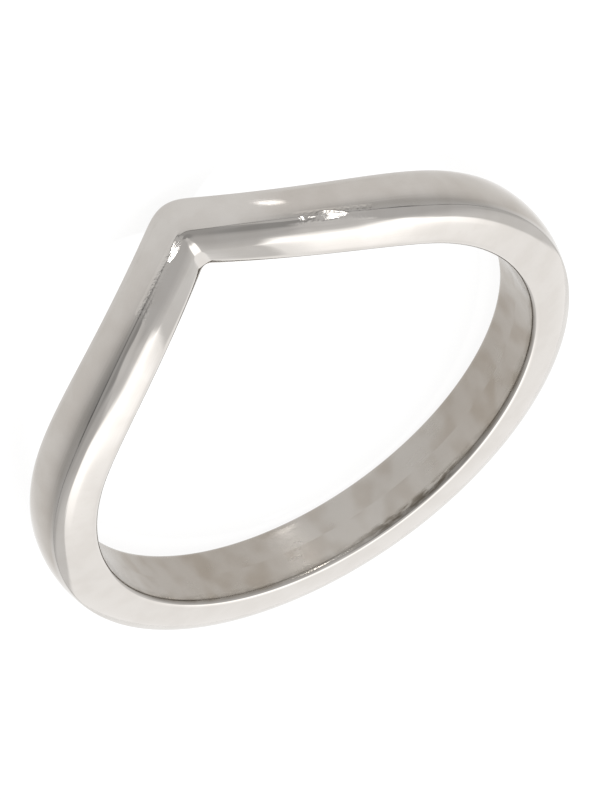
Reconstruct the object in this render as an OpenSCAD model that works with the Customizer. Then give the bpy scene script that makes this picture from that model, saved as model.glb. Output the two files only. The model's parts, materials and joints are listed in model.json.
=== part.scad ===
// Chevron ring: a plain domed band of white metal whose front is drawn down into a V.
// The band lies on its side on a surface, on the point of the V and on the back of the shank.
// Millimetres, +Z up. The origin is on the surface, under the middle of the ring.

/* [Finger hole] */
// Diameter of the finger hole
finger_d = 17; // [14:0.1:21]
// How far the rounding of the finger hole's two edges reaches along its wall
edge_along = 0.3; // [0.1:0.01:0.4]
// How far that rounding reaches up the flanks, at the point of the V
v_edge_up = 0.44; // [0.1:0.01:0.5]
// How far that rounding reaches up the flanks, round the shank
shank_edge_up = 0.31; // [0.1:0.01:0.5]

/* [Chevron] */
// Slope of each arm at the point of the V, in degrees from the plane of the shank
arm_angle = 36.3; // [15:0.1:45]
// Part of the turn that each arm takes from the point of the V to the plain shank, in degrees
arm_sweep = 51.5; // [35:0.5:75]
// How straight each arm runs before it eases into the shank
arm_straightness = 0.41; // [0:0.01:1]
// Distance along the band over which the V's outer corner is rounded, to each side of the point
outer_corner = 0.9; // [0.5:0.05:1.5]
// Distance along the band over which the V's inner corner is rounded, to each side of the point
inner_corner = 0.3; // [0.3:0.05:1]

/* [Band] */
// Width of the band at the point of the V, square to the arms
v_width = 1.86; // [1.5:0.01:3]
// Width of the band where the arms join the shank
side_width = 2.5; // [1.5:0.01:3.5]
// Width of the band at the back of the shank
back_width = 2.38; // [1.5:0.01:3.5]
// Thickness of the band at the point of the V
v_thickness = 2.06; // [1.4:0.01:2.6]
// Thickness of the band where the arms join the shank
side_thickness = 1.68; // [1.4:0.01:2.6]
// Thickness of the band at the back of the shank
back_thickness = 1.95; // [1.4:0.01:2.6]

/* [Profile] */
// Height of the domed top above its edges, at the point of the V
v_dome = 0.06; // [0.03:0.01:0.3]
// Height of the domed top above its edges, round the shank
shank_dome = 0.2; // [0.08:0.01:0.35]
// How far each flank leans in from the finger hole to the dome, at the point of the V
v_lean = 0.18; // [0.05:0.01:0.35]
// How far each flank leans in from the finger hole to the dome, round the shank
shank_lean = 0.27; // [0.05:0.01:0.35]
// How far each flank swells out at half its height, at the point of the V
v_swell = 0.06; // [0:0.01:0.1]
// How far each flank swells out at half its height, round the shank
shank_swell = 0.03; // [0:0.01:0.1]

/* [Shoulders] */
// How much of the dome each shoulder takes, at the point of the V
v_shoulder_in = 0.21; // [0.05:0.01:0.3]
// How much of the dome each shoulder takes, round the shank
shank_shoulder_in = 0.12; // [0.05:0.01:0.3]
// How far each shoulder's corner lies below the dome's edge, at the point of the V
v_shoulder_down = 0.2; // [0.1:0.01:0.4]
// How far each shoulder's corner lies below the dome's edge, round the shank
shank_shoulder_down = 0.24; // [0.1:0.01:0.4]
// Distance over which each flank turns into its shoulder, at the point of the V
v_shoulder_turn = 0.66; // [0.1:0.01:0.8]
// Distance over which each flank turns into its shoulder, round the shank
shank_shoulder_turn = 0.21; // [0.1:0.01:0.8]
// Distance over which the crease between shoulder and dome is rounded, to each side
crease_round = 0.07; // [0.03:0.01:0.15]
// Part of the turn over which the V's crisp shoulders soften into those of the shank, in degrees
shoulder_sweep = 45; // [20:1:75]

/* [Hidden] */

metal = [0.80, 0.79, 0.78];

// Steps round the ring and round each part of the profile
fine_step = 1.25;
coarse_step = 3.75;
edge_steps = 4;
flank_steps = 3;
shoulder_steps = 3;
crease_steps = 2;
dome_steps = 3;

finger_r = finger_d / 2;
// Radius at the middle of the band's thickness, where lengths along the band are measured
middle_r = finger_r + side_thickness / 2;
// Length of each arm along the band, from the point of the V to the plain shank
arm_run = middle_r * arm_sweep * PI / 180;
// How far the blank goes inside the finger hole before the hole is cut
hole_allowance = 0.13;
// Height over the finger hole at which the width of the band is measured
flank_foot = 0.17;
// Largest share of a flank's upper half, under the shoulder, that turns into the shoulder
turn_limit = 0.95;

// Smooth step from 0 to 1 over the share s
function ease(s) = let (c = min(max(s, 0), 1)) c * c * (3 - 2 * c);

// A value that goes from the V through the sides to the back, at the turn t in degrees
function along(v, side, back, t) =
    let (to_side = ease(abs(t) / arm_sweep), to_back = ease((abs(t) - arm_sweep) / (180 - arm_sweep)))
    v * (1 - to_side) + to_side * (side * (1 - to_back) + back * to_back);

function width(t) = along(v_width, side_width, back_width, t);
function thickness(t) = along(v_thickness, side_thickness, back_thickness, t);

// Share of the arm's slope that is left at the share s of its sweep, and the height it gives up to there
function slope_left(s) = (1 - s) ^ 2 * (1 + 2 * arm_straightness * s);
function height_share(s) =
    s - s ^ 2 + s ^ 3 / 3 + 2 * arm_straightness * (s ^ 2 / 2 - 2 * s ^ 3 / 3 + s ^ 4 / 4);

// Length along the band from the point of the V to the turn t
function distance(t) = middle_r * abs(t) * PI / 180;

// The distance d with the corner at the point of the V rounded over the distance c
function rounded(d, c) = d >= c ? d : let (s = d / c) c * (3 / 8 + 3 * s ^ 2 / 4 - s ^ 4 / 8);

// Height of an arm's middle line over the plane of the shank, with its corner rounded over c
function arm_height(t, c) =
    let (d = distance(t), s = min(d / arm_run, 1))
    tan(arm_angle) * (rounded(d, c) - d - arm_run * (height_share(1) - height_share(s)));

// Half of the band's height along the finger axis, which grows with the slope of the arm
function half_height(t) =
    let (s = min(rounded(distance(t), outer_corner) / arm_run, 1))
    width(t) / 2 * norm([1, tan(arm_angle) * slope_left(s)]);

// Heights of the band's two edges: the one inside the V and the one outside it
function inside_edge(t) = arm_height(t, inner_corner) + half_height(t);
function outside_edge(t) = arm_height(t, outer_corner) - half_height(t);

function unit(v) = v / norm(v);
function between(v, shank, share) = v + (shank - v) * share;

// Points after a on the curve that rounds the corner p from a to b
function bend(a, p, b, steps) =
    [for (i = [1 : steps]) let (s = i / steps) (1 - s) ^ 2 * a + 2 * s * (1 - s) * p + s ^ 2 * b];

// One half of the profile at the turn t as [distance from the middle, height over the finger hole],
// with half width h and thickness k: rounded edge of the hole, swelling flank, shoulder and dome
function half_profile(h, k, t) =
    let (
        to_shank = ease(abs(t) / arm_sweep),
        soft = ease(abs(t) / shoulder_sweep),
        dome = between(v_dome, shank_dome, to_shank),
        shoulder_in = between(v_shoulder_in, shank_shoulder_in, soft),
        shoulder_down = between(v_shoulder_down, shank_shoulder_down, soft),

        dome_edge = [h - between(v_lean, shank_lean, to_shank), k - dome],
        dome_r = (dome_edge[0] ^ 2 + dome ^ 2) / (2 * dome),
        dome_centre = [0, k - dome_r],
        dome_end = asin(dome_edge[0] / dome_r) - (shoulder_in + crease_round) / dome_r * 180 / PI,
        dome_start = dome_centre + dome_r * [sin(dome_end), cos(dome_end)],
        crease = dome_start + crease_round * [cos(dome_end), -sin(dome_end)],

        foot = [h, flank_foot],
        up = unit(dome_edge - foot),
        belly = (foot + dome_edge) / 2 + 2 * between(v_swell, shank_swell, to_shank) * [up[1], -up[0]],
        fall = unit(foot - belly),
        edge = belly - fall * belly[1] / fall[1],
        edge_end = edge - between(v_edge_up, shank_edge_up, to_shank) * fall,

        rise = unit(dome_edge - belly),
        shoulder = dome_edge - shoulder_down * rise,
        turn = min(between(v_shoulder_turn, shank_shoulder_turn, soft), turn_limit * norm(shoulder - belly)),
        turn_start = shoulder - turn * rise,
        turn_end = crease - crease_round * unit(crease - shoulder)
    )
    concat(
        bend(edge - [edge_along, 0], edge, edge_end, edge_steps),
        bend(edge_end, belly, turn_start, flank_steps),
        bend(turn_start, shoulder, turn_end, shoulder_steps),
        bend(turn_end, crease, dome_start, crease_steps),
        [for (i = [1 : dome_steps]) let (a = dome_end * (1 - i / dome_steps))
            dome_centre + dome_r * [sin(a), cos(a)]]
    );

// The whole profile at the turn t as [height along the finger axis, distance from the finger axis]
function profile(t) =
    let (
        middle = (inside_edge(t) + outside_edge(t)) / 2,
        h = (inside_edge(t) - outside_edge(t)) / 2,
        half = half_profile(h, thickness(t), t),
        last = len(half) - 1
    )
    concat(
        [[middle, finger_r - hole_allowance]],
        [for (p = half) [middle + p[0], finger_r + p[1]]],
        [for (i = [last - 1 : -1 : 0]) [middle - half[i][0], finger_r + half[i][1]]]
    );

// Turns of the sections, close together at the point of the V
near_turn = 15;
turns = concat(
    [for (t = [-180 + coarse_step : coarse_step : -near_turn - coarse_step / 2]) t],
    [for (t = [-near_turn : fine_step : near_turn]) t],
    [for (t = [near_turn + coarse_step : coarse_step : 180]) t]
);

// Tilt at which the ring rests: the point of the V and the back of the shank are equally low
v_profile = profile(0);
back_profile = profile(180);
function lowest(points, side, tilt) = min([for (p = points) p[0] * cos(tilt) + side * p[1] * sin(tilt)]);
function rest_between(low, high, halvings) =
    let (tilt = (low + high) / 2)
    halvings == 0 ? tilt
    : lowest(v_profile, 1, tilt) > lowest(back_profile, -1, tilt) ? rest_between(low, tilt, halvings - 1)
    : rest_between(tilt, high, halvings - 1);
rest_tilt = rest_between(0, 30, 40);
rest_height = -lowest(v_profile, 1, rest_tilt);

// Middle of the ring in Y as it rests
front_y = max([for (p = v_profile) p[1] * cos(rest_tilt) - p[0] * sin(rest_tilt)]);
back_y = min([for (p = back_profile) -p[1] * cos(rest_tilt) - p[0] * sin(rest_tilt)]);
rest_y = -(front_y + back_y) / 2;

module blank() {
    sections = [for (t = turns) [for (p = profile(t)) [p[1] * sin(t), p[1] * cos(t), p[0]]]];
    n = len(sections[0]);
    count = len(sections);
    polyhedron(
        points = [for (section = sections) each section],
        faces = [
            for (i = [0 : count - 1], j = [0 : n - 1])
                let (a = i * n + j, b = i * n + (j + 1) % n, next = ((i + 1) % count - i) * n)
                each [[a, b, b + next], [a, b + next, a + next]]
        ]
    );
}

module band() {
    color(metal)
        translate([0, rest_y, rest_height])
            rotate([rest_tilt, 0, 0])
                difference() {
                    blank();
                    cylinder(h = 2 * finger_d, r = finger_r, center = true, $fn = 180);
                }
}

band();
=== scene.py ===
"""Chevron ring: one finely meshed band of polished white metal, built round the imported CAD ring.

The band follows the same curves as the part's source, in many more and finer steps. In the shape code,
lengths are in millimetres and turns in degrees from the point of the V. The mesh is made in metres.
"""

import json
import math

import bpy
import numpy as np
from mathutils import Matrix, Vector


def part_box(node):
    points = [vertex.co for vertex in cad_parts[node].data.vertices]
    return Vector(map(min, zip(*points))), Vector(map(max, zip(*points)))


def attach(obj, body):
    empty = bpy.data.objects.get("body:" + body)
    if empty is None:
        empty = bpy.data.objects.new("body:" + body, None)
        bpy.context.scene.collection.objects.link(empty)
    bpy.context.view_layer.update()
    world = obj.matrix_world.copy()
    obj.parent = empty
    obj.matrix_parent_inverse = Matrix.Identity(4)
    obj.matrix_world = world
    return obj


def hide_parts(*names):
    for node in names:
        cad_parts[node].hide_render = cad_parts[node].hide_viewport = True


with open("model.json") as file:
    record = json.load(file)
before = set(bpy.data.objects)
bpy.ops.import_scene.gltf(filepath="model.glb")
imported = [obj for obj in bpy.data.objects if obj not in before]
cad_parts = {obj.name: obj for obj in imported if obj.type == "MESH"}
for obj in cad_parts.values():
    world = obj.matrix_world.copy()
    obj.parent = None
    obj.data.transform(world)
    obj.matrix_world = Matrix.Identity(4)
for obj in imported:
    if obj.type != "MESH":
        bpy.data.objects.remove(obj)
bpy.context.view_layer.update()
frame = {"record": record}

MM = 0.001

# Finger hole and chevron, as in the part's source
FINGER_R = 8.5
ARM_ANGLE = math.radians(36.3)
ARM_SWEEP = 51.5
ARM_STRAIGHTNESS = 0.41
OUTER_CORNER = 0.9
INNER_CORNER = 0.3

# Band: at the V, at the sides and at the back
WIDTH = (1.86, 2.5, 2.38)
THICKNESS = (2.06, 1.68, 1.95)

# Profile: the same all round, or at the V and round the shank
EDGE_ALONG = 0.3
EDGE_UP = (0.44, 0.31)
DOME = (0.06, 0.2)
LEAN = (0.18, 0.27)
SWELL = (0.06, 0.03)
SHOULDER_IN = (0.21, 0.12)
SHOULDER_DOWN = (0.2, 0.24)
SHOULDER_TURN = (0.66, 0.21)
CREASE_ROUND = 0.07
SHOULDER_SWEEP = 45
FLANK_FOOT = 0.17
TURN_LIMIT = 0.95

# Radius and length of the band at the middle of its thickness, and the length of an arm of the V there
MIDDLE_R = FINGER_R + THICKNESS[1] / 2
BAND_LENGTH = 2 * math.pi * MIDDLE_R
ARM_RUN = MIDDLE_R * math.radians(ARM_SWEEP)

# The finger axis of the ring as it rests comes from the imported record
bore = next(m for m in frame["record"]["mounts"] if m["name"] == "finger_bore")
REST_TILT = math.atan2(-bore["axis"][1], bore["axis"][2])

# Steps of each part of the profile, from the middle of the wall to the crown
WALL_STEPS = 5
EDGE_STEPS = 10
FLANK_STEPS = 10
SHOULDER_STEPS = 12
CREASE_STEPS = 8
DOME_STEPS = 20
PROFILE_STEPS = (WALL_STEPS, EDGE_STEPS, FLANK_STEPS, SHOULDER_STEPS, CREASE_STEPS, DOME_STEPS)

# Turns between which the sections lie close together, and their steps there and round the rest
FINE_FROM = -16
FINE_TO = 32
FINE_STEP = 0.2
COARSE_STEP = 1.0

# Small flats worn into the near crease, which all face one way in the ring's own frame
WORN_FLATS = (
    # first turn, last turn, turn at which the depth is measured, depth
    (22, 30.4, 26, 0.038),
    (19.4, 20.8, 20, 0.016),
    (-8, 0.2, -3.7, 0.032),
)
WORN_DIRECTION = np.array([0.2819, 0.8361, 0.4707])
# Share of a flat's length over which it runs out at each end, and the cut from which it counts as wholly flat
RUN_OUT = 0.38
FULL_CUT = 0.02

# Strips of the map for baking, and the margin round each as a share of its size
STRIPS = 3
STRIP_EDGE = 0.01

# Lengths round the band from the first section: the point of the V, two worn lengths of the V's crease, and
# a length of the near wall's edge with dried polish on it
POINT_AROUND = MIDDLE_R * math.radians(-FINE_FROM)
WORN_LEFT = (0.0, 2.3)
WORN_RIGHT = (5.8, 8.1)
POLISH_LEFT = (28.2, 32.6)

# Colours of the metal where it is clean; on the wall of the finger hole, a darker copy that is partly the
# wall's own duller tone and partly painted shade; where smudges, mottle and painted shade darken it; and
# under dried polish
CLEAN_METAL = (0.555, 0.53, 0.503, 1)
SATIN_AND_SHADED_WALL_METAL = (0.455, 0.43, 0.398, 1)
DULL_AND_SHADED_METAL = (0.33, 0.29, 0.245, 1)
DRIED_POLISH = (0.11, 0.088, 0.06, 1)


def ease(s):
    """Smooth step from 0 to 1 over the share s."""
    c = np.clip(s, 0, 1)
    return c * c * (3 - 2 * c)


def along(values, turn):
    """A value that goes from the V through the sides to the back."""
    v, side, back = values
    to_side = ease(np.abs(turn) / ARM_SWEEP)
    to_back = ease((np.abs(turn) - ARM_SWEEP) / (180 - ARM_SWEEP))
    return v * (1 - to_side) + to_side * (side * (1 - to_back) + back * to_back)


def distance(turn):
    """Length round the band from the point of the V."""
    return MIDDLE_R * np.radians(np.abs(turn))


def rounded(d, corner):
    """The distance d from the point of the V, smoothed there over the length corner."""
    s = np.clip(d / corner, 0, 1)
    return np.where(d >= corner, d, corner * (3 / 8 + 3 * s**2 / 4 - s**4 / 8))


def slope_left(s):
    """Share of the arm's slope that is left at the share s of its sweep."""
    return (1 - s) ** 2 * (1 + 2 * ARM_STRAIGHTNESS * s)


def height_share(s):
    """Sum of slope_left from the point of the V to the share s."""
    straight = s**2 / 2 - 2 * s**3 / 3 + s**4 / 4
    return s - s**2 + s**3 / 3 + 2 * ARM_STRAIGHTNESS * straight


def arm_height(turn, corner):
    """Height of the band's middle from the plane of the shank, which the V drops below."""
    d = distance(turn)
    s = np.minimum(d / ARM_RUN, 1)
    fall = ARM_RUN * (height_share(1) - height_share(s))
    return math.tan(ARM_ANGLE) * (rounded(d, corner) - d - fall)


def half_height(turn):
    """Half of the band's height along the finger axis, which is more where an arm slopes."""
    s = np.minimum(rounded(distance(turn), OUTER_CORNER) / ARM_RUN, 1)
    return along(WIDTH, turn) / 2 * np.hypot(1, math.tan(ARM_ANGLE) * slope_left(s))


def unit(v):
    return v / np.linalg.norm(v)


def bend(start, corner, end, steps):
    """Points after start on the curve that rounds a corner."""
    s = np.linspace(0, 1, steps + 1)[1:, None]
    return (1 - s) ** 2 * start + 2 * s * (1 - s) * corner + s**2 * end


def half_profile(h, k, turn):
    """Half of the profile as (distance from the middle, height over the finger hole)."""
    to_shank = float(ease(abs(turn) / ARM_SWEEP))
    soft = float(ease(abs(turn) / SHOULDER_SWEEP))

    def mix(pair, share):
        return pair[0] + (pair[1] - pair[0]) * share

    dome = mix(DOME, to_shank)
    dome_edge = np.array([h - mix(LEAN, to_shank), k - dome])
    dome_r = (dome_edge[0] ** 2 + dome**2) / (2 * dome)
    dome_centre = np.array([0, k - dome_r])
    dome_end = math.asin(dome_edge[0] / dome_r) - (mix(SHOULDER_IN, soft) + CREASE_ROUND) / dome_r
    dome_start = dome_centre + dome_r * np.array([math.sin(dome_end), math.cos(dome_end)])
    crease = dome_start + CREASE_ROUND * np.array([math.cos(dome_end), -math.sin(dome_end)])

    foot = np.array([h, FLANK_FOOT])
    up = unit(dome_edge - foot)
    belly = (foot + dome_edge) / 2 + 2 * mix(SWELL, to_shank) * np.array([up[1], -up[0]])
    fall = unit(foot - belly)
    edge = belly - fall * belly[1] / fall[1]
    edge_start = edge - np.array([EDGE_ALONG, 0])
    edge_end = edge - mix(EDGE_UP, to_shank) * fall

    rise = unit(dome_edge - belly)
    shoulder = dome_edge - mix(SHOULDER_DOWN, soft) * rise
    turn_length = min(mix(SHOULDER_TURN, soft), TURN_LIMIT * np.linalg.norm(shoulder - belly))
    turn_start = shoulder - turn_length * rise
    turn_end = crease - CREASE_ROUND * unit(crease - shoulder)

    wall = np.linspace(0, 1, WALL_STEPS + 1)[:, None] * edge_start
    a = dome_end * (1 - np.arange(1, DOME_STEPS + 1) / DOME_STEPS)
    return np.concatenate([
        wall,
        bend(edge_start, edge, edge_end, EDGE_STEPS),
        bend(edge_end, belly, turn_start, FLANK_STEPS),
        bend(turn_start, shoulder, turn_end, SHOULDER_STEPS),
        bend(turn_end, crease, dome_start, CREASE_STEPS),
        dome_centre + dome_r * np.stack([np.sin(a), np.cos(a)], 1),
    ])


def section(turn):
    """The closed profile at a turn, as (height along the finger axis, distance from that axis)."""
    half_h = float(half_height(turn))
    inside = float(arm_height(turn, INNER_CORNER)) + half_h
    outside = float(arm_height(turn, OUTER_CORNER)) - half_h
    middle, h = (inside + outside) / 2, (inside - outside) / 2
    half = half_profile(h, float(along(THICKNESS, turn)), turn)
    near = np.stack([middle + half[:, 0], FINGER_R + half[:, 1]], 1)
    far = np.stack([middle - half[:, 0], FINGER_R + half[:, 1]], 1)
    return np.concatenate([near, far[-2:0:-1]])


def section_turns():
    """Turns of the sections, close together about the V."""
    fine = np.arange(FINE_FROM, FINE_TO, FINE_STEP)
    coarse = np.arange(FINE_TO, 360 + FINE_FROM, COARSE_STEP)
    return np.concatenate([fine, coarse])


def wear(points, turn):
    """Cuts the flats into the near half of the sections, and gives how much each point was cut."""
    near = points.shape[1] // 2 + 1
    cut = np.zeros(points.shape[:2])
    for first, last, measured, depth in WORN_FLATS:
        height = points[:, :near] @ WORN_DIRECTION
        top = height[np.argmin(np.abs(turn - measured))].max()
        run_out = RUN_OUT * (last - first)
        share = ease((turn - first) / run_out) * ease((last - turn) / run_out)
        over = np.maximum(height - top + depth, 0) * share[:, None]
        points[:, :near] -= over[..., None] * WORN_DIRECTION
        cut[:, :near] += over
    return cut


def band_points(rings, turn):
    """The sections' points in metres as the ring rests, and how much each was cut."""
    a = np.radians(turn)[:, None]
    points = np.stack([rings[..., 1] * np.sin(a), rings[..., 1] * np.cos(a), rings[..., 0]], -1)
    cut = wear(points, turn)

    # Tilted as it rests, and set into the CAD ring's own box
    tilt = np.array(Matrix.Rotation(REST_TILT, 3, "X"))
    points = (points.reshape(-1, 3) @ tilt.T) * MM
    low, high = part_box("band")
    shift = (np.array(low) + np.array(high)) / 2 - (points.min(0) + points.max(0)) / 2
    shift[2] = low[2] - points[:, 2].min()
    return points + shift, cut.ravel()


def band_faces(count, n):
    """Faces between neighbours of a closed row of sections with n points each."""
    faces = []
    for i in range(count):
        j = (i + 1) % count
        for k in range(n):
            m = (k + 1) % n
            faces.append((i * n + k, j * n + k, j * n + m, i * n + m))
    return faces


def inset(share):
    """A share of a strip's size, measured inside its margin."""
    return STRIP_EDGE + (1 - 2 * STRIP_EDGE) * share


def add_maps(mesh, rings, turns):
    """Adds the map for baking, in strips round the band, and a map in mm round it and from its crown."""
    count, n = rings.shape[:2]
    step = np.linalg.norm(np.diff(rings, axis=1, append=rings[:, :1]), axis=2)
    across = np.concatenate([np.zeros((count, 1)), np.cumsum(step, 1)], 1)
    around = (np.append(turns, turns[0] + 360) - turns[0]) / 360
    i, k = (index.ravel() for index in np.indices((count, n)))
    strip = np.minimum((around[i] * STRIPS).astype(int), STRIPS - 1)
    maps = {"OFBake": [], "band_mm": []}
    for di, dk in ((0, 0), (1, 0), (1, 1), (0, 1)):
        share = across[(i + di) % count, k + dk] / across[(i + di) % count, n]
        u = inset(around[i + di] * STRIPS - strip)
        v = (strip + inset(share)) / STRIPS
        from_crown = (share - 0.5) * across[0, n]
        maps["OFBake"].append(np.stack([u, v], 1))
        maps["band_mm"].append(np.stack([around[i + di] * BAND_LENGTH, from_crown], 1))
    for name, corners in maps.items():
        values = np.stack(corners, 1).astype(np.float32).ravel()
        mesh.uv_layers.new(name=name).uv.foreach_set("vector", values)


def add_marks(mesh, count, cut):
    """Marks each point's part of the profile, 0 to 1 wall up to 5 to 6 dome, and how flat it is worn."""
    parts = [[0.0]]
    for part, steps in enumerate(PROFILE_STEPS):
        parts.append(part + np.arange(1, steps + 1) / steps)
    parts = np.concatenate(parts)
    zone = np.tile(np.concatenate([parts, parts[-2:0:-1]]), count)
    for name, values in (("zone", zone), ("flat", np.clip(cut / FULL_CUT, 0, 1))):
        mark = mesh.attributes.new(name, "FLOAT", "POINT")
        mark.data.foreach_set("value", values.astype(np.float32))


def band_mesh():
    """The whole band, with its maps and marks."""
    turns = section_turns()
    signed = np.where(turns > 180, turns - 360, turns)
    rings = np.array([section(turn) for turn in signed])
    points, cut = band_points(rings, signed)
    mesh = bpy.data.meshes.new("chevron_band")
    mesh.from_pydata([tuple(p) for p in points], [], band_faces(*rings.shape[:2]))
    mesh.update()
    add_maps(mesh, rings, turns)
    add_marks(mesh, len(rings), cut)
    mesh.shade_smooth()
    return mesh


class Graph:
    """Short forms for the nodes of one material or world."""

    def __init__(self, tree):
        self.nodes, self.links = tree.nodes, tree.links

    def put(self, socket, value):
        if isinstance(value, bpy.types.NodeSocket):
            self.links.new(value, socket)
        else:
            socket.default_value = value

    def node(self, kind, inputs=(), **settings):
        n = self.nodes.new(kind)
        for name, value in settings.items():
            setattr(n, name, value)
        for key, value in dict(inputs).items():
            self.put(n.inputs[key], value)
        return n

    def math(self, operation, a, b=0.0):
        return self.node("ShaderNodeMath", {0: a, 1: b}, operation=operation).outputs[0]

    def add(self, total, *others):
        for other in others:
            total = self.math("ADD", total, other)
        return total

    def times(self, product, *others):
        for other in others:
            product = self.math("MULTIPLY", product, other)
        return product

    def minus(self, a, b):
        return self.math("SUBTRACT", a, b)

    def ramp(self, source, low, high, out_low=0.0, out_high=1.0):
        """A smooth step of the source from low to high."""
        inputs = {0: source, 1: low, 2: high, 3: out_low, 4: out_high}
        return self.node("ShaderNodeMapRange", inputs, interpolation_type="SMOOTHSTEP").outputs[0]

    def window(self, source, low, high, soft):
        """1 between low and high, with soft edges."""
        above = self.ramp(source, low - soft, low + soft)
        below = self.ramp(source, high + soft, high - soft)
        return self.times(above, below)

    def layer(self, under, level, *masks):
        """A level laid over another value where all the masks are 1."""
        return self.add(under, self.times(*masks, self.minus(level, under)))

    def mix(self, share, first, second):
        """The first colour where the share is 0 and the second where it is 1."""
        inputs = {0: share, 6: first, 7: second}
        return self.node("ShaderNodeMix", inputs, data_type="RGBA").outputs[2]


def new_material(name):
    material = bpy.data.materials.new(name)
    material.use_nodes = True
    return material, Graph(material.node_tree), material.node_tree.nodes["Principled BSDF"]


def metal():
    """White metal from a workshop's polishing wheel: fine lines along the band, worn crease, duller wall, and
    painted shade on the wall and on the dome's arms.
    """
    material, g, shader = new_material("polished_metal")
    spot = g.node("ShaderNodeTexCoord").outputs["Object"]
    band_map = g.node("ShaderNodeUVMap", uv_map="band_mm").outputs[0]
    around, across, _ = g.node("ShaderNodeSeparateXYZ", {0: band_map}).outputs
    zone = g.node("ShaderNodeAttribute", attribute_name="zone").outputs["Fac"]
    on_flat = g.node("ShaderNodeAttribute", attribute_name="flat").outputs["Fac"]

    def noise(per_mm, detail, vector=spot, roughness=0.5):
        """Noise with a number of features per millimetre."""
        scale = per_mm / MM if vector is spot else per_mm
        inputs = {"Vector": vector, "Scale": scale, "Detail": detail, "Roughness": roughness}
        return g.node("ShaderNodeTexNoise", inputs).outputs[0]

    def stretched(along_band, over_band):
        """The band's map, scaled along the band and over it."""
        inputs = {"Vector": band_map, "Scale": (along_band, over_band, 1)}
        return g.node("ShaderNodeMapping", inputs, vector_type="POINT").outputs[0]

    wall = g.ramp(zone, 1.6, 1.25)
    top = g.ramp(zone, 4.95, 5.25)
    from_point = g.math("ABSOLUTE", g.minus(around, POINT_AROUND))
    from_point = g.math("MINIMUM", from_point, g.minus(BAND_LENGTH, from_point))
    worn = g.add(g.window(around, *WORN_LEFT, 0.3), g.window(around, *WORN_RIGHT, 0.3))
    worn = g.times(g.window(zone, 3.7, 5.25, 0.1), worn, g.minus(1, on_flat))

    # Colour: a faint warm mottle and a stain on the dome, painted shade on the dome away from the point of
    # the V, smudges on the wall, and painted shade on two lengths of the wall
    mottle = noise(0.9, 3)
    smudge = g.ramp(noise(1, 1.5, stretched(0.9, 0.75), 0.4), 0.4, 0.68)
    stain = g.ramp(noise(0.38, 2), 0.45, 0.7)
    # Painted shade: the dome grows darker away from the point of the V
    dome_painted_shade = g.add(g.ramp(from_point, 1.3, 4.2, 0, 0.22), g.ramp(from_point, 7.5, 13, 0, 0.3))
    # Painted shade: two lengths of the wall, about 95 to 155 degrees from the V each way, made darker
    wall_painted_shade = g.window(from_point, 15.5, 25.5, 2)
    share = g.add(
        g.ramp(mottle, 0.38, 0.66, 0.02, 0.12),
        g.times(wall, smudge, 0.42),
        g.times(top, stain, 0.15),
        g.times(top, dome_painted_shade),
        g.times(wall, wall_painted_shade, 0.42),
    )
    colour = g.mix(share, g.mix(wall, CLEAN_METAL, SATIN_AND_SHADED_WALL_METAL), DULL_AND_SHADED_METAL)

    # Brown dried polish in streaks where the near wall turns into its flank
    near_edge = g.times(g.window(zone, 0.92, 1.45, 0.1), g.ramp(across, 0.1, -0.1))
    left_there = g.add(0.18, g.times(g.window(around, *POLISH_LEFT, 1.2), 0.55))
    polish = g.times(near_edge, left_there, g.ramp(noise(1, 3, stretched(1.6, 7)), 0.36, 0.6))
    g.put(shader.inputs["Base Color"], g.mix(polish, colour, DRIED_POLISH))

    # Roughness: crisp flanks, slightly hazy dome, satin wall, and duller where worn or under polish
    rough = g.add(
        g.ramp(noise(1, 3, stretched(0.35, 9), 0.6), 0.3, 0.7, 0.02, 0.045),
        g.times(top, g.ramp(mottle, 0.3, 0.7, 0.02, 0.07)),
        g.times(wall, g.ramp(noise(0.7, 3), 0.3, 0.7, 0.12, 0.24)),
        g.times(worn, 0.07),
        g.times(on_flat, 0.25),
        g.times(polish, 0.3),
    )
    g.put(shader.inputs["Roughness"], rough)

    # Relief in metres: the polisher's waves, fine lines along the band and dents on the crease
    relief = g.add(
        g.times(noise(0.32, 1), 9e-6),
        g.times(noise(1, 2, stretched(0.25, 11), 0.7), 0.9e-6),
        g.times(worn, noise(8, 2), 1.2e-5),
    )
    bump = g.node("ShaderNodeBump", {"Height": relief, "Distance": 1.0, "Strength": 1.0})
    g.put(shader.inputs["Normal"], bump.outputs[0])
    shader.inputs["Metallic"].default_value = 1.0
    return material


def make_band():
    band = bpy.data.objects.new("chevron_band", band_mesh())
    bpy.context.scene.collection.objects.link(band)
    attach(band, "root")
    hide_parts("band")
    band.data.materials.append(metal())


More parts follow.
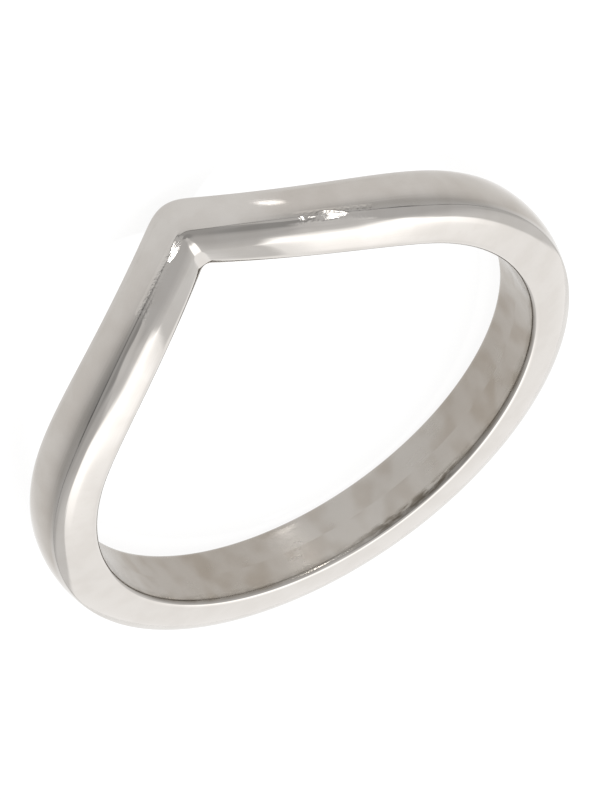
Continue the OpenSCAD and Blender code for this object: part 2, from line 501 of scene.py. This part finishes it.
def acrylic():
    """Glossy white acrylic that glows softly as if lit from below, with a painted falloff of light that
    leaves it greyer away from the ring.
    """
    material, g, shader = new_material("floor_acrylic")
    x, y, _ = g.node("ShaderNodeSeparateXYZ", {0: g.node("ShaderNodeTexCoord").outputs["Object"]}).outputs

    # Painted falloff of light in colour and glow: darker away from the ring, later in front of it, and more
    # beyond a line on its left
    forward = g.times(g.math("MAXIMUM", y, 0.0), 0.7)
    away = g.math("SQRT", g.add(g.times(x, x), g.times(forward, forward)))
    left = g.minus(g.times(g.minus(y, 25 * MM), 0.398), g.times(x, 0.917))
    painted_falloff = g.ramp(away, 13 * MM, 27 * MM, 1.0, 0.58)
    painted_falloff = g.times(painted_falloff, g.ramp(left, 1 * MM, 8 * MM, 1.0, 0.92))
    white = g.node("ShaderNodeCombineColor", {0: painted_falloff, 1: painted_falloff, 2: painted_falloff}).outputs[0]

    matt = g.node("ShaderNodeBsdfDiffuse", {"Color": g.mix(0.17, (0, 0, 0, 1), white)}).outputs[0]
    glow = g.node("ShaderNodeEmission", {"Color": white, "Strength": 0.91}).outputs[0]
    sheet = g.node("ShaderNodeAddShader", {0: matt, 1: glow}).outputs[0]
    gloss = g.node("ShaderNodeBsdfGlossy", {"Color": (1, 1, 1, 1), "Roughness": 0.09}).outputs[0]
    fresnel = g.node("ShaderNodeFresnel", {"IOR": 1.45}).outputs[0]
    both = g.node("ShaderNodeMixShader", {0: fresnel, 1: sheet, 2: gloss}).outputs[0]
    g.put(material.node_tree.nodes["Material Output"].inputs[0], both)
    g.nodes.remove(shader)
    return material


def make_floor():
    """A sheet under the ring that reaches 3 metres each way."""
    reach = 3.0
    mesh = bpy.data.meshes.new("floor")
    corners = [(-reach, -reach, 0), (reach, -reach, 0), (reach, reach, 0), (-reach, reach, 0)]
    mesh.from_pydata(corners, [], [(0, 1, 2, 3)])
    ob = bpy.data.objects.new("floor", mesh)
    bpy.context.scene.collection.objects.link(ob)
    mesh.materials.append(acrylic())


def make_camera():
    """The camera from the fit to the photograph's outlines, turned about its line of sight."""
    at = Vector((-3.339, 395.557, 307.796)) * MM
    right = Vector((0.8160706, -0.34883901, 0.46080377))
    up = Vector((0.57791308, 0.50180798, -0.64358777))
    axes = Matrix((right, up, right.cross(up))).transposed()
    camera = bpy.data.objects.new("camera", bpy.data.cameras.new("camera"))
    bpy.context.scene.collection.objects.link(camera)
    camera.matrix_world = Matrix.Translation(at) @ axes.to_4x4()
    camera.data.lens = 663.21
    camera.data.sensor_width = 36
    camera.data.clip_start = 0.05
    camera.data.clip_end = 10
    bpy.context.scene.camera = camera


def make_world():
    """A studio: azimuth 0 is -Y, behind the ring as the camera sees it, and +90 is +X, on its right."""
    studio = bpy.data.worlds.new("studio")
    bpy.context.scene.world = studio
    studio.use_nodes = True
    g = Graph(studio.node_tree)
    direction = g.node("ShaderNodeTexCoord").outputs["Generated"]
    x, y, z = g.node("ShaderNodeSeparateXYZ", {0: direction}).outputs
    degrees = 180 / math.pi
    azimuth = g.times(g.math("ARCTAN2", x, g.times(y, -1)), degrees)
    height = g.times(g.math("ARCSINE", z), degrees)
    aside = g.math("ABSOLUTE", azimuth)

    # Ceiling and walls: darker on the left and high up beside the camera, and paler over the softbox
    room = g.ramp(height, 66, 84, 0.7, 0.9)
    dark_left = g.ramp(height, 45, 60, 0.53, 0.44)
    room = g.layer(room, dark_left, g.ramp(azimuth, -62, -100), g.ramp(height, 84, 76))
    room = g.layer(room, 0.74, g.ramp(azimuth, 105, 125), g.ramp(height, 58, 50))
    room = g.layer(room, 0.42, g.ramp(azimuth, 135, 152), g.window(height, 58, 80, 4))
    room = g.layer(room, 0.95, g.ramp(aside, 56, 38), g.ramp(height, 80, 68))

    # Bright backdrop behind the ring, with sides that lean outwards, the left one more
    left_side = g.minus(g.times(azimuth, -1), g.ramp(height, 18, 38, 0, 6))
    lean = g.times(g.math("MAXIMUM", g.minus(height, 25), 0.0), 0.42)
    beyond = g.minus(g.minus(g.math("MAXIMUM", azimuth, left_side), lean), 30)
    backdrop = g.ramp(height, 22, 36, 1.37, 1.55)
    room = g.layer(room, backdrop, g.ramp(beyond, 0, -3), g.ramp(height, 52, 44))

    # Softbox over the backdrop, with lower corners that hang down and upper corners that are cut off
    side4 = g.math("POWER", g.math("DIVIDE", aside, 30), 4)
    hang = g.math("MINIMUM", g.times(side4, 16), 5.0)
    under = g.ramp(g.add(height, hang), 33.5, 50)
    over = g.ramp(g.add(height, g.times(side4, 2)), 70, 60)
    flank = g.ramp(g.math("DIVIDE", beyond, g.ramp(height, 34, 62, 1.5, 6)), 1, -1)
    room = g.layer(room, 2.15, under, over, flank)

    # Dark edges of the room at the height of the table
    room = g.layer(room, 0.3, g.window(azimuth, -165, -105, 10), g.window(height, 0.5, 8, 1))
    room = g.layer(room, 0.1, g.ramp(aside, 60, 75), g.ramp(height, 2.4, 1.8))

    # A small lamp, which the worn flats mirror: its middle and half its size in azimuth and in height
    lamp_at = (141.5, 28)
    lamp_size = (4.6, 2.2)
    across = g.math("DIVIDE", g.minus(azimuth, lamp_at[0]), lamp_size[0])
    above = g.math("DIVIDE", g.minus(height, lamp_at[1]), lamp_size[1])
    lamp = g.ramp(g.add(g.times(across, across), g.times(above, above)), 1.25, 0.6)
    background = studio.node_tree.nodes["Background"]
    g.put(background.inputs["Strength"], g.layer(room, 22.0, lamp))
    background.inputs["Color"].default_value = (1, 1, 1, 1)


def make_overhead():
    """A large soft light overhead, which lights the floor and isn't seen in the metal."""
    light = bpy.data.lights.new("overhead", "AREA")
    light.shape = "DISK"
    light.size = 1.8
    light.energy = 7
    overhead = bpy.data.objects.new("overhead", light)
    bpy.context.scene.collection.objects.link(overhead)
    overhead.location = (0, 0, 1.2)
    overhead.visible_camera = False
    overhead.visible_glossy = False


make_band()
make_floor()
make_camera()
make_world()
make_overhead()
bpy.context.scene.view_settings.view_transform = "Standard"
